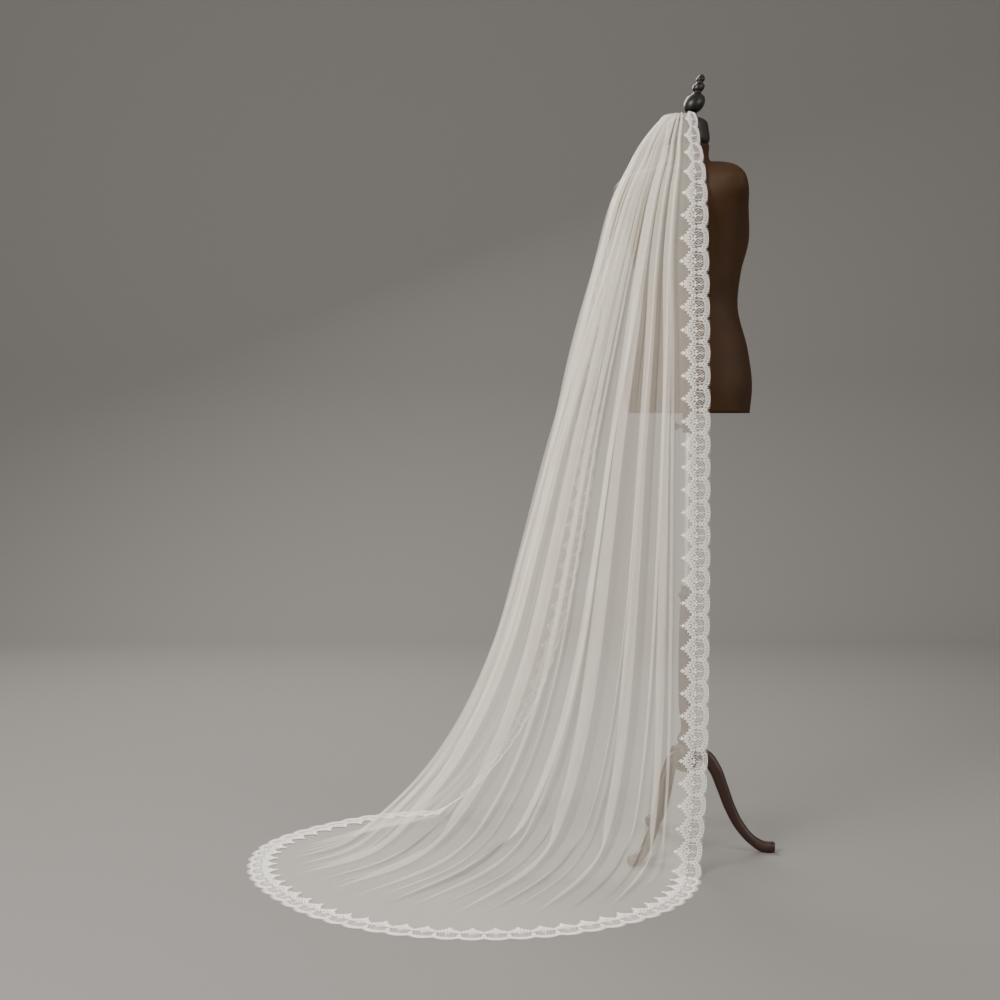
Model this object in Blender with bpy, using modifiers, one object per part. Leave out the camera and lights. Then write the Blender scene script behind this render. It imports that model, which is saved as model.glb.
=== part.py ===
"""A bridal veil of tulle with a scalloped lace border, resting on a limbless dress form on a stand.

Metres, +Z up. X runs to the right and Y away in the view that shows the train sweep to the left.
Everything is first laid out about the stand's own axis, and the last lines move it so that the
origin lies under the middle of the whole object, on the surface it stands on.
"""
import math

import bpy
import numpy as np

GAP = 0.0003
WALL = 0.001

# The veil's cut, before it is gathered
CUT_WIDTH = 1.50
CORNER_RADIUS = 0.60
HEM_LENGTH = math.pi * CORNER_RADIUS + CUT_WIDTH - 2 * CORNER_RADIUS

# The lace border: distances in from its outer edge
LACE_REPEAT = 0.050
LACE_WIDTH = 0.064
LACE_RECESS = 0.043
LACE_BAND = 0.014
LACE_HOLE_END = 0.031
SCALLOP_DEPTH = 0.007
TULLE_EDGE = 0.036
SEAM_TRACK = 0.070
LACE_LIFTS = {"lace_near_side": 0.0022, "lace_hem": 0.0019, "lace_far_side": 0.0028}
LACE_SEAM = 0.0006

# The dress form's neck cap carries the veil's gathered heading
CAP_CENTRE = (-0.004, 0.0)
CAP_TOP_RADIUS = 0.019
CAP_TOP = 1.664
CAP_SHOULDER_RADIUS = 0.042
CAP_SHOULDER = 1.654
CAP_RADIUS = 0.047
CAP_BOTTOM = 1.600

# Heading rows: arcs round the neck cap, from the near end to the far end
HEADING_NEAR_ANGLE = -78
HEADING_FAR_ANGLE = -192
HEADING_ARCS = (
    # radius, height (None rests on the cap), border scale
    (0.026, None, 0.30),
    (0.036, None, 0.33),
    (0.050, 1.6640, 0.38),
    (0.064, 1.6500, 0.42),
)

# Hanging rows: each a curve from the near edge, round the left side, to the far edge
HANGING_SECTIONS = (
    # height, near x, near y, left x, left y, far x, far y, far heading in degrees, border scale
    (1.600, 0.012, -0.098, -0.108, -0.008, -0.104, 0.010, 75, 0.55),
    (1.540, 0.018, -0.133, -0.141, -0.022, -0.136, 0.000, 70, 0.70),
    (1.480, 0.021, -0.155, -0.169, -0.026, -0.162, 0.006, 65, 0.85),
    (1.350, 0.024, -0.166, -0.197, -0.020, -0.176, 0.045, 55, 1.0),
    (1.150, 0.028, -0.168, -0.247, -0.012, -0.184, 0.088, 45, 1.0),
    (0.920, 0.030, -0.170, -0.307, 0.000, -0.196, 0.122, 42, 1.0),
    (0.700, 0.031, -0.173, -0.363, 0.010, -0.226, 0.152, 45, 1.0),
    (0.450, 0.030, -0.178, -0.437, 0.018, -0.280, 0.192, 52, 1.0),
    (0.260, 0.028, -0.183, -0.528, 0.024, -0.352, 0.232, 62, 1.0),
    (0.120, 0.022, -0.190, -0.635, 0.028, -0.442, 0.276, 74, 1.0),
    (0.035, 0.014, -0.198, -0.735, 0.032, -0.528, 0.306, 86, 1.0),
)

# The train's outer outline on the floor, as distances from its own middle
TRAIN_MIDDLE = (-0.49, -0.155)
TRAIN_OUTLINE = (
    # angle in degrees, radius
    (-7, 0.502),
    (-35, 0.506),
    (-65, 0.489),
    (-95, 0.473),
    (-125, 0.462),
    (-150, 0.459),
    (-175, 0.484),
    (-200, 0.511),
    (-225, 0.503),
    (-245, 0.500),
    (-261, 0.482),
)

# How far round the hem the two side tracks run before the hem rows begin
CORNER_RUN = 0.27
HEM_DRIFT = 0.27
CORNER_STEPS = (0.025, 0.08, 0.155)
FLOOR_STEPS = (0.16, 0.42, 0.71)
INNER_GUIDES = 59

# Rows after which the panel bends or twists enough to need another row half way
CURVED_ROWS = (3, 5, 6, 7, 10, 11, 12, 13, 14)

# Folds: soft ridges that run from the heading to the train. They start as shallow gathers
GATHER_DEPTHS = (0.0006, 0.0012, 0.0030)
FOLDS = (
    # across the cut, half width, then depth at shoulder, hip, knee, ankle and train, lean
    (0.110, 0.020, 0.008, 0.013, 0.015, 0.013, 0.004, 0.3),
    (0.180, 0.018, 0.008, 0.011, 0.009, 0.006, 0.002, -0.3),
    (0.250, 0.022, 0.009, 0.014, 0.016, 0.014, 0.005, 0.4),
    (0.325, 0.018, 0.008, 0.011, 0.010, 0.007, 0.002, -0.2),
    (0.400, 0.024, 0.009, 0.014, 0.017, 0.015, 0.005, 0.4),
    (0.485, 0.020, 0.008, 0.012, 0.010, 0.008, 0.003, 0.3),
    (0.560, 0.024, 0.010, 0.015, 0.018, 0.016, 0.006, -0.4),
    (0.640, 0.020, 0.008, 0.012, 0.012, 0.009, 0.003, 0.3),
    (0.720, 0.024, 0.010, 0.015, 0.018, 0.016, 0.006, 0.4),
    (0.800, 0.020, 0.009, 0.013, 0.012, 0.010, 0.003, -0.3),
    (0.875, 0.024, 0.010, 0.014, 0.017, 0.016, 0.006, 0.3),
    (0.950, 0.020, 0.008, 0.012, 0.012, 0.010, 0.004, 0.3),
    (1.030, 0.024, 0.010, 0.014, 0.016, 0.015, 0.006, -0.3),
    (1.105, 0.018, 0.008, 0.011, 0.010, 0.008, 0.003, 0.2),
    (1.180, 0.022, 0.008, 0.013, 0.015, 0.013, 0.005, 0.4),
    (1.255, 0.018, 0.007, 0.010, 0.009, 0.006, 0.002, -0.3),
    (1.325, 0.022, 0.007, 0.012, 0.013, 0.011, 0.004, 0.3),
    (1.385, 0.018, 0.004, 0.006, 0.007, 0.006, 0.002, 0.0),
)

# Dress form
FACING = math.radians(48)
TORSO_BOTTOM = 1.000
TORSO_RINGS = (
    # height, half width, front depth, back depth, set back from the stand's axis
    (1.000, 0.150, 0.113, 0.113, 0.000),
    (1.060, 0.155, 0.117, 0.119, 0.000),
    (1.140, 0.144, 0.110, 0.108, 0.000),
    (1.240, 0.119, 0.095, 0.088, 0.002),
    (1.310, 0.127, 0.108, 0.088, 0.008),
    (1.390, 0.144, 0.140, 0.090, 0.014),
    (1.450, 0.159, 0.118, 0.086, 0.026),
    (1.495, 0.176, 0.080, 0.064, 0.038),
    (1.520, 0.173, 0.054, 0.050, 0.042),
    (1.536, 0.154, 0.046, 0.044, 0.040),
    (1.548, 0.120, 0.044, 0.044, 0.028),
    (1.558, 0.064, 0.050, 0.050, 0.016),
    (1.572, 0.049, 0.049, 0.049, 0.008),
    (CAP_BOTTOM - GAP, 0.047, 0.047, 0.047, 0.003),
)
TORSO_SIDES = 28
FINIAL_BASE = (0.004, 0.003, CAP_TOP + GAP)
FINIAL_LEAN = (0.26, 0.10)
FINIAL_SIDES = 16
FINIAL_PROFILE = (
    # radius, height above the cap
    (0.0135, 0.000),
    (0.0105, 0.008),
    (0.0180, 0.016),
    (0.0230, 0.033),
    (0.0190, 0.046),
    (0.0090, 0.056),
    (0.0130, 0.064),
    (0.0135, 0.071),
    (0.0075, 0.078),
    (0.0100, 0.086),
    (0.0045, 0.096),
)

# Stand
COLLAR_RADIUS = 0.011
COLLAR_BOTTOM = 0.956
THUMBSCREW_HEIGHT = 0.970
THUMBSCREW_HEAD = 0.0085
THUMBSCREW_SHANK = 0.0035
THUMBSCREW_REACH = 0.016
POLE_RADIUS = 0.006
POLE_BOTTOM = 0.607
HUB_RADIUS = 0.0215
POST_PROFILE = (
    # radius, height
    (0.0100, 0.1780),
    (HUB_RADIUS, 0.1850),
    (HUB_RADIUS, 0.2350),
    (0.0150, 0.2430),
    (0.0185, 0.2540),
    (0.0130, 0.2640),
    (0.0150, 0.3300),
    (0.0160, 0.4400),
    (0.0135, 0.5500),
    (0.0125, 0.5750),
    (0.0165, 0.5820),
    (0.0165, 0.5900),
    (0.0120, 0.5960),
    (0.0115, POLE_BOTTOM - GAP),
)
LEG_ANGLES = {"leg_right": -12, "leg_back": 108, "leg_near": 228}
LEG_PATH = (
    # distance from the axis, height of its middle, half thickness, half width
    (HUB_RADIUS + GAP, 0.2130, 0.0150, 0.0110),
    (0.0450, 0.2150, 0.0150, 0.0110),
    (0.0680, 0.1880, 0.0145, 0.0110),
    (0.0860, 0.1450, 0.0135, 0.0105),
    (0.1040, 0.0980, 0.0125, 0.0100),
    (0.1270, 0.0560, 0.0115, 0.0100),
    (0.1560, 0.0250, 0.0110, 0.0105),
    (0.1800, 0.0125, 0.0125, 0.0115),
    (0.2060, 0.0125, 0.0125, 0.0115),
)

COLOURS = {
    "tulle": (0.80, 0.77, 0.72, 0.0, 0.8),
    "lace": (0.86, 0.82, 0.78, 0.0, 0.8),
    "torso_cover": (0.06, 0.025, 0.010, 0.0, 0.5),
    "dark_wood": (0.014, 0.009, 0.007, 0.0, 0.3),
    "brown_wood": (0.045, 0.022, 0.014, 0.0, 0.4),
    "steel": (0.60, 0.60, 0.58, 1.0, 0.3),
    "painted_iron": (0.03, 0.04, 0.035, 0.6, 0.5),
}


def clear_scene():
    for thing in list(bpy.data.objects):
        bpy.data.objects.remove(thing, do_unlink=True)


def new_collection(name):
    made = bpy.data.collections.new(name)
    bpy.context.scene.collection.children.link(made)
    return made


def material(name):
    found = bpy.data.materials.get(name)
    if found:
        return found
    red, green, blue, metallic, roughness = COLOURS[name]
    made = bpy.data.materials.new(name)
    made.use_nodes = True
    shader = made.node_tree.nodes["Principled BSDF"]
    shader.inputs["Base Color"].default_value = (red, green, blue, 1.0)
    shader.inputs["Metallic"].default_value = metallic
    shader.inputs["Roughness"].default_value = roughness
    return made


def add_piece(name, points, faces, finish):
    mesh = bpy.data.meshes.new(name)
    mesh.from_pydata([tuple(point) for point in points], [], faces)
    mesh.update()
    mesh.shade_smooth()
    piece = bpy.data.objects.new(name, mesh)
    piece.data.materials.append(material(finish))
    PARTS.objects.link(piece)
    return piece


def add_wall(piece, thickness):
    wall = piece.modifiers.new("wall", "SOLIDIFY")
    wall.thickness = thickness
    wall.offset = 0.0
    wall.use_even_offset = False
    return wall


def slopes(knots, values):
    """Tangents of a smooth curve through uneven knots."""
    step = np.diff(knots)
    shape = (-1,) + (1,) * (values.ndim - 1)
    rise = np.diff(values, axis=0) / step.reshape(shape)
    before = step[:-1].reshape(shape)
    after = step[1:].reshape(shape)
    inner = (rise[:-1] * after + rise[1:] * before) / (before + after)
    return np.concatenate([rise[:1], inner, rise[-1:]])


def smooth_through(knots, values, at):
    """The smooth curve through values at knots, read at other places."""
    knots = np.asarray(knots, float)
    values = np.asarray(values, float)
    at = np.clip(np.asarray(at, float), knots[0], knots[-1])
    tangents = slopes(knots, values)
    cell = np.clip(np.searchsorted(knots, at, side="right") - 1, 0, len(knots) - 2)
    width = knots[cell + 1] - knots[cell]
    shape = (-1,) + (1,) * (values.ndim - 1)
    t = ((at - knots[cell]) / width).reshape(shape)
    width = width.reshape(shape)
    return (
        (2 * t**3 - 3 * t**2 + 1) * values[cell]
        + (t**3 - 2 * t**2 + t) * width * tangents[cell]
        + (3 * t**2 - 2 * t**3) * values[cell + 1]
        + (t**3 - t**2) * width * tangents[cell + 1]
    )


def cap_height(radius):
    """Height of the neck cap's sloping top at a distance from its axis."""
    share = (radius - CAP_TOP_RADIUS) / (CAP_SHOULDER_RADIUS - CAP_TOP_RADIUS)
    return CAP_TOP + share * (CAP_SHOULDER - CAP_TOP)


def heading_curve(radius):
    angle = np.radians(np.linspace(HEADING_NEAR_ANGLE, HEADING_FAR_ANGLE, 121))
    x = CAP_CENTRE[0] + radius * np.cos(angle)
    y = CAP_CENTRE[1] + radius * np.sin(angle)
    return np.stack([x, y], 1)


def hanging_curve(near, left, far, far_heading):
    """A quarter ellipse from the near edge to the left side, then a bend to the far edge."""
    turn = np.linspace(0, math.pi / 2, 81)[:, None]
    near, left, far = (np.asarray(point, float) for point in (near, left, far))
    x = near[0] + (left[0] - near[0]) * np.sin(turn)
    y = left[1] + (near[1] - left[1]) * np.cos(turn)
    front = np.concatenate([x, y], 1)
    reach = np.linalg.norm(far - left)
    t = np.linspace(0, 1, 41)[1:, None]
    start = np.array([0.0, reach])
    end = reach * np.array([math.cos(far_heading), math.sin(far_heading)])
    back = (
        (2 * t**3 - 3 * t**2 + 1) * left
        + (t**3 - 2 * t**2 + t) * start
        + (3 * t**2 - 2 * t**3) * far
        + (t**3 - t**2) * end
    )
    return np.concatenate([front, back])


def lengths(curve):
    return np.concatenate([[0], np.cumsum(np.linalg.norm(np.diff(curve, axis=0), axis=1))])


def along(curve, distance):
    run = lengths(curve)
    return np.stack([np.interp(distance, run, curve[:, axis]) for axis in range(curve.shape[1])], -1)


def level_rows():
    """Every hanging row as its curve, its height and the scale of its borders."""
    rows = []
    for radius, height, scale in HEADING_ARCS:
        if height is None:
            height = cap_height(radius) + GAP + 0.55 * WALL
        rows.append((heading_curve(radius), height, scale))
    for height, near_x, near_y, left_x, left_y, far_x, far_y, heading, scale in HANGING_SECTIONS:
        curve = hanging_curve((near_x, near_y), (left_x, left_y), (far_x, far_y), math.radians(heading))
        rows.append((curve, height, scale))
    return rows


def outline_curve():
    table = np.array(TRAIN_OUTLINE, float)[::-1]
    angle = np.linspace(TRAIN_OUTLINE[0][0], TRAIN_OUTLINE[-1][0], 400)
    radius = smooth_through(table[:, 0], table[:, 1], angle)
    angle = np.radians(angle)
    x = TRAIN_MIDDLE[0] + radius * np.cos(angle)
    y = TRAIN_MIDDLE[1] + radius * np.sin(angle)
    return np.stack([x, y], 1)


def hem_point(distance, inset):
    """A point on the floor at a distance along the hem, set in from the outer edge."""
    run = lengths(OUTLINE)
    stretch = run[-1] / HEM_LENGTH
    here = along(OUTLINE, np.atleast_1d(distance) * stretch)
    reach = 0.004
    ahead = along(OUTLINE, np.atleast_1d(distance) * stretch + reach)
    behind = along(OUTLINE, np.atleast_1d(distance) * stretch - reach)
    way = ahead - behind
    way /= np.linalg.norm(way, axis=1)[:, None]
    inward = np.stack([way[:, 1], -way[:, 0]], 1)
    return here + inward * np.asarray(inset).reshape(-1, 1), way, inward


def level_point(row, inset, far_side):
    curve, height, scale = row
    whole = lengths(curve)[-1]
    distance = whole - inset * scale if far_side else inset * scale
    x, y = along(curve, distance)
    return np.array([x, y, height])


def floor_point(distance, inset):
    spot = hem_point(distance, inset)[0][0]
    return np.array([spot[0], spot[1], WALL / 2])


def edge_track(inset):
    """The veil's border from the near top, round the hem, to the far top, at one inset."""
    points = [level_point(row, inset, False) for row in ROWS]
    floor = np.array(TRACK_FLOOR)
    points += [floor_point(distance, inset) for distance in floor]
    points += [level_point(row, inset, True) for row in ROWS[::-1]]
    return np.array(points)


def track_points(inset, at):
    return smooth_through(TRACK_KNOTS, edge_track(inset), at)


def hem_distance(across):
    """How far along the hem a thread ends, drifted towards the far side as the train is swept round."""
    run = straight_hem_distance(across)
    share = (run - CORNER_RUN) / (HEM_LENGTH - 2 * CORNER_RUN)
    if 0 < share < 1:
        run += HEM_DRIFT * math.sin(math.pi * share) * run / HEM_LENGTH
    return run


def straight_hem_distance(across):
    """How far along the cut's hem a thread ends that starts at a place across the cut."""
    side = min(across, CUT_WIDTH - across)
    if side < CORNER_RADIUS:
        run = CORNER_RADIUS * math.acos((CORNER_RADIUS - side) / CORNER_RADIUS)
    else:
        run = CORNER_RADIUS * math.pi / 2 + side - CORNER_RADIUS
    return run if across <= CUT_WIDTH / 2 else HEM_LENGTH - run


def thread_turn(across):
    """Angle between the thread and the hem where the thread ends."""
    side = min(across, CUT_WIDTH - across)
    if side >= CORNER_RADIUS:
        return math.pi / 2
    return math.acos((CORNER_RADIUS - side) / CORNER_RADIUS)


def side_guide(inset, far_side):
    """A guide line that keeps its distance from a side edge and then from the hem's corner."""
    points = [level_point(row, inset, far_side) for row in ROWS]
    last_step = CORNER_RUN if inset == SEAM_TRACK else CORNER_RUN - SEAM_TRACK + TULLE_EDGE
    end = CORNER_RUN + SEAM_TRACK - TULLE_EDGE if inset == SEAM_TRACK else CORNER_RUN
    for distance in CORNER_STEPS + (last_step,):
        place = HEM_LENGTH - distance if far_side else distance
        points.append(floor_point(place, inset))
    place = HEM_LENGTH - end if far_side else end
    points.append(floor_point(place, TULLE_EDGE))
    return np.array(points)


def inner_guide(share, across):
    """A guide line that hangs, meets the floor and runs to the hem."""
    points = []
    for curve, height, scale in ROWS:
        whole = lengths(curve)[-1]
        first = SEAM_TRACK * scale
        x, y = along(curve, first + share * (whole - 2 * first))
        points.append((x, y, height))
    place = hem_distance(across)
    end, way, inward = hem_point(place, SEAM_TRACK)
    edge = hem_point(place, TULLE_EDGE)[0][0]
    turn = thread_turn(across)
    lengthwise = math.cos(turn) if across < CUT_WIDTH / 2 else -math.cos(turn)
    arrive = way[0] * lengthwise - inward[0] * math.sin(turn)
    start = np.array(points[-1][:2])
    end = end[0]
    reach = np.linalg.norm(end - start)
    leave = (end - start) * 0.8 + np.array(points[-1][:2]) - np.array(points[-2][:2])
    leave *= reach / np.linalg.norm(leave)
    for t in FLOOR_STEPS:
        spot = (
            (2 * t**3 - 3 * t**2 + 1) * start
            + (t**3 - 2 * t**2 + t) * leave
            + (3 * t**2 - 2 * t**3) * end
            + (t**3 - t**2) * arrive * reach
        )
        points.append((spot[0], spot[1], WALL / 2))
    points.append((end[0], end[1], WALL / 2))
    points.append((edge[0], edge[1], WALL / 2))
    return np.array(points)


def guide_net():
    """Guide lines across the cut and their places across it."""
    across = [TULLE_EDGE, SEAM_TRACK]
    net = [side_guide(TULLE_EDGE, False), side_guide(SEAM_TRACK, False)]
    for place in INNER_PLACES:
        share = (place - SEAM_TRACK) / (CUT_WIDTH - 2 * SEAM_TRACK)
        across.append(place)
        net.append(inner_guide(share, place))
    across += [CUT_WIDTH - SEAM_TRACK, CUT_WIDTH - TULLE_EDGE]
    net += [side_guide(SEAM_TRACK, True), side_guide(TULLE_EDGE, True)]
    return np.array(across), np.array(net)


def row_knots(net):
    steps = np.linalg.norm(np.diff(net, axis=1), axis=2)
    return np.concatenate([[0], np.cumsum(steps.mean(0))])


def base_surface(across, down):
    """The veil without its folds, at places across the cut and down the guide lines."""
    lines = smooth_through(ACROSS, NET, across)
    surface = np.swapaxes(smooth_through(DOWN, np.swapaxes(lines, 0, 1), down), 0, 1)
    surface[..., 2] = np.maximum(surface[..., 2], WALL / 2)
    return surface


def outward(across, down):
    """Unit vectors out of the surface and across it."""
    reach = 0.002
    sideways = base_surface(across + reach, down) - base_surface(across - reach, down)
    lengthways = base_surface(across, down + reach) - base_surface(across, down - reach)
    out = np.cross(sideways, lengthways)
    out /= np.maximum(np.linalg.norm(out, axis=2, keepdims=True), 1e-9)
    sideways /= np.maximum(np.linalg.norm(sideways, axis=2, keepdims=True), 1e-9)
    return out, sideways


def fold_depths(fold, down):
    """A fold's depth down its length: nothing at the heading and at the hem."""
    heading, crest, under, neck = DOWN[1], DOWN[2], DOWN[3], DOWN[4]
    shoulder, hip, knee, ankle = DOWN[6], DOWN[9], DOWN[11], DOWN[13]
    train, fade = DOWN[16], DOWN[-2]
    knots = (0.0, heading, crest, under, neck, shoulder, hip, knee, ankle, train, fade, DOWN[-1])
    depths = (0.0, 0.0) + GATHER_DEPTHS + fold[2:7] + (0.0, 0.0)
    return np.interp(down, knots, depths)


def tulle_columns():
    columns = {TULLE_EDGE, SEAM_TRACK, CUT_WIDTH - SEAM_TRACK, CUT_WIDTH - TULLE_EDGE}
    for fold in FOLDS:
        columns.update((round(fold[0] - fold[1], 4), fold[0], round(fold[0] + fold[1], 4)))
    return np.array(sorted(columns))


def track_place(distance):
    """Where a distance along the hem lies on the border's track."""
    return np.interp(distance, TRACK_FLOOR, TRACK_KNOTS[len(ROWS) : -len(ROWS)])


def panel_border(across, down, surface):
    """The panel's edge points and the points behind them, in order round the border."""
    last = len(across) - 1
    end = len(down) - 1
    sides = len(ROWS) + len(CORNER_STEPS)
    inner_step = CORNER_RUN - SEAM_TRACK + TULLE_EDGE
    outer_step = CORNER_RUN + SEAM_TRACK - TULLE_EDGE
    near = list(np.interp(down[: end - 1], DOWN[:sides], TRACK_KNOTS[:sides]))
    from_far_end = TRACK_KNOTS[-1] - TRACK_KNOTS[::-1]
    far = list(TRACK_KNOTS[-1] - np.interp(down[: end - 1], DOWN[:sides], from_far_end[:sides]))
    hem = [inner_step, CORNER_RUN, outer_step]
    hem += [hem_distance(place) for place in across[2:-2]]
    hem += [HEM_LENGTH - outer_step, HEM_LENGTH - CORNER_RUN, HEM_LENGTH - inner_step]
    places = near + [track_place(distance) for distance in hem] + far[::-1]
    edge = [surface[0, row] for row in range(end + 1)]
    edge += [surface[column, end] for column in range(1, last)]
    edge += [surface[last, row] for row in range(end, -1, -1)]
    behind = [surface[1, min(row, end - 1)] for row in range(end + 1)]
    behind += [surface[min(max(column, 1), last - 1), end - 1] for column in range(1, last)]
    behind += [surface[last - 1, min(row, end - 1)] for row in range(end, -1, -1)]
    return np.array(places), np.array(edge), np.array(behind)


def hollow_split(quad, surface, way_out):
    """Splits a quad along the diagonal that lies further in, so the border over it stays clear."""
    corners = surface.reshape(-1, 3)[list(quad)]
    first = float(np.dot(corners[0] + corners[2], way_out))
    second = float(np.dot(corners[1] + corners[3], way_out))
    a, b, c, d = quad
    if first < second:
        return [(a, b, c), (a, c, d)]
    return [(b, c, d), (b, d, a)]


def make_tulle():
    across = tulle_columns()
    middles = [(DOWN[row] + DOWN[row + 1]) / 2 for row in CURVED_ROWS]
    down = np.array(sorted(list(DOWN) + middles))
    surface = base_surface(across, down)
    out, sideways = outward(across, down)
    for fold in FOLDS:
        column = int(np.argmin(abs(across - fold[0])))
        depth = fold_depths(fold, down)[:, None]
        lean = fold[7] * np.clip(surface[column, :, 2:3] / 0.1, 0, 1)
        surface[column] += depth * (out[column] + lean * sideways[column])
    surface[..., 2] = np.maximum(surface[..., 2], WALL / 2)
    rows = len(down)
    faces = []
    for column in range(len(across) - 1):
        for row in range(rows - 1):
            first = column * rows + row
            quad = (first, first + rows, first + rows + 1, first + 1)
            if column in (0, len(across) - 2):
                faces += hollow_split(quad, surface, out[column, row])
            else:
                faces.append(quad)
    panel = add_piece("tulle_panel", surface.reshape(-1, 3), faces, "tulle")
    add_wall(panel, WALL)
    return panel_border(across, down, surface)


def lace_lift(name, inset):
    """The border passes over the tulle's edge and lies in line with it outside."""
    share = np.clip((inset - LACE_BAND) / (LACE_HOLE_END - LACE_BAND), 0, 1)
    return LACE_LIFTS[name] * share * share * (3 - 2 * share)


def border_point(border, inset, at):
    """A place on the panel at an inset from the veil's outer edge, read from the panel's points."""
    places, edge, behind = border
    share = (inset - TULLE_EDGE) / (SEAM_TRACK - TULLE_EDGE)
    line = edge + share * (behind - edge)
    return np.array([np.interp(at, places, line[:, axis]) for axis in range(3)])


def lace_strip(name, border, first, last):
    """A stretch of border between two places on its track: scallops outside, points inside."""
    fine = np.linspace(first, last, 1200)
    run = lengths(track_points(0.0, fine))
    repeats = round(run[-1] / LACE_REPEAT)
    steps = 4 * repeats
    at = np.interp(np.linspace(0, run[-1], steps + 1), run, fine)
    middle_in = track_points(TULLE_EDGE, at)
    middle_out = track_points(0.0, at)
    reach = 0.01
    ahead = track_points(TULLE_EDGE, at + reach) - track_points(TULLE_EDGE, at - reach)
    out = np.cross(middle_in - middle_out, ahead)
    out /= np.linalg.norm(out, axis=1)[:, None]
    scallop = (1.0, 0.25, 0.0, 0.25)
    point = (0.0, 0.35, 1.0, 0.35)
    points = []
    for step in range(steps + 1):
        phase = step % 4
        inner = LACE_RECESS + point[phase] * (LACE_WIDTH - LACE_RECESS)
        insets = (scallop[phase] * SCALLOP_DEPTH, LACE_BAND, LACE_HOLE_END, inner)
        for inset in insets:
            if inset < LACE_HOLE_END:
                spot = track_points(inset, at[step : step + 1])[0]
            else:
                spot = border_point(border, inset, at[step])
            spot = spot + lace_lift(name, inset) * out[step]
            spot[2] = max(spot[2], WALL / 2)
            points.append(spot)
    faces = []
    for step in range(steps):
        for band in range(3):
            if band == 1 and step % 4 in (1, 2):
                continue
            first_point = step * 4 + band
            faces.append((first_point, first_point + 1, first_point + 5, first_point + 4))
    strip = add_piece(name, points, faces, "lace")
    add_wall(strip, WALL)
    return strip


def make_lace(border):
    near_join = TRACK_KNOTS[len(ROWS) - 2]
    far_join = TRACK_KNOTS[-(len(ROWS) - 1)]
    start = TRACK_KNOTS[2]
    end = TRACK_KNOTS[-3]
    lace_strip("lace_near_side", border, start, near_join - LACE_SEAM / 2)
    lace_strip("lace_hem", border, near_join + LACE_SEAM / 2, far_join - LACE_SEAM / 2)
    lace_strip("lace_far_side", border, far_join + LACE_SEAM / 2, end)


def lofted(name, rings, finish):
    """A closed solid through rings of equal point count, capped flat at both ends."""
    count = len(rings[0])
    points = [point for ring in rings for point in ring]
    faces = []
    for ring in range(len(rings) - 1):
        for side in range(count):
            other = (side + 1) % count
            low = ring * count
            high = low + count
            faces.append((low + side, low + other, high + other, high + side))
    faces.append(tuple(range(count))[::-1])
    faces.append(tuple(range(len(points) - count, len(points))))
    return add_piece(name, points, faces, finish)


def make_torso():
    front = np.array([math.cos(FACING), math.sin(FACING)])
    side = np.array([math.sin(FACING), -math.cos(FACING)])
    rings = []
    for height, half_width, front_depth, back_depth, set_back in TORSO_RINGS:
        ring = []
        for index in range(TORSO_SIDES):
            angle = 2 * math.pi * index / TORSO_SIDES
            depth = front_depth if math.cos(angle) > 0 else back_depth
            spot = front * (depth * math.cos(angle) - set_back) - side * half_width * math.sin(angle)
            ring.append((spot[0], spot[1], height))
        rings.append(ring)
    return lofted("torso", rings, "torso_cover")


def turned(name, profile, finish, steps=16):
    """A turned piece: its profile runs from top to bottom at +X and is spun about Z."""
    mesh = bpy.data.meshes.new(name)
    outline = [(0.0, 0.0, profile[-1][1])]
    outline += [(radius, 0.0, height) for radius, height in reversed(profile)]
    outline.append((0.0, 0.0, profile[0][1]))
    edges = [(index, index + 1) for index in range(len(outline) - 1)]
    mesh.from_pydata(outline, edges, [])
    piece = bpy.data.objects.new(name, mesh)
    piece.data.materials.append(material(finish))
    PARTS.objects.link(piece)
    spin = piece.modifiers.new("turn", "SCREW")
    spin.axis = "Z"
    spin.steps = steps
    spin.render_steps = steps
    spin.use_merge_vertices = True
    spin.merge_threshold = 0.0001
    return piece


def make_cap():
    profile = (
        (CAP_RADIUS - 0.003, CAP_BOTTOM),
        (CAP_RADIUS, CAP_BOTTOM + 0.004),
        (CAP_RADIUS, 1.640),
        (CAP_RADIUS - 0.0015, 1.649),
        (CAP_SHOULDER_RADIUS, CAP_SHOULDER),
        (CAP_TOP_RADIUS, CAP_TOP),
    )
    cap = turned("neck_cap", profile, "dark_wood", 28)
    cap.location = (CAP_CENTRE[0], CAP_CENTRE[1], 0.0)
    return cap


def make_finial():
    """Turned rings that lean together, on a level seat."""
    rings = []
    for radius, height in FINIAL_PROFILE:
        ring = []
        for index in range(FINIAL_SIDES):
            angle = 2 * math.pi * index / FINIAL_SIDES
            x = FINIAL_BASE[0] + height * FINIAL_LEAN[0] + radius * math.cos(angle)
            y = FINIAL_BASE[1] + height * FINIAL_LEAN[1] + radius * math.sin(angle)
            ring.append((x, y, FINIAL_BASE[2] + height))
        rings.append(ring)
    return lofted("finial", rings, "dark_wood")


def make_stand():
    collar = (
        (COLLAR_RADIUS - 0.001, COLLAR_BOTTOM),
        (COLLAR_RADIUS, COLLAR_BOTTOM + 0.001),
        (COLLAR_RADIUS, TORSO_BOTTOM - GAP),
    )
    turned("collar", collar, "painted_iron")
    pole = ((POLE_RADIUS, POLE_BOTTOM), (POLE_RADIUS, COLLAR_BOTTOM - GAP))
    turned("pole", pole, "steel", 12)
    turned("post", POST_PROFILE, "brown_wood")
    screw_profile = (
        (THUMBSCREW_SHANK, 0.0),
        (THUMBSCREW_SHANK, THUMBSCREW_REACH - 0.006),
        (THUMBSCREW_HEAD, THUMBSCREW_REACH - 0.006),
        (THUMBSCREW_HEAD, THUMBSCREW_REACH),
    )
    screw = turned("thumbscrew", screw_profile, "painted_iron", 12)
    screw.location = (-COLLAR_RADIUS - GAP, 0.0, THUMBSCREW_HEIGHT)
    screw.rotation_euler = (0.0, -math.pi / 2, 0.0)


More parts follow.
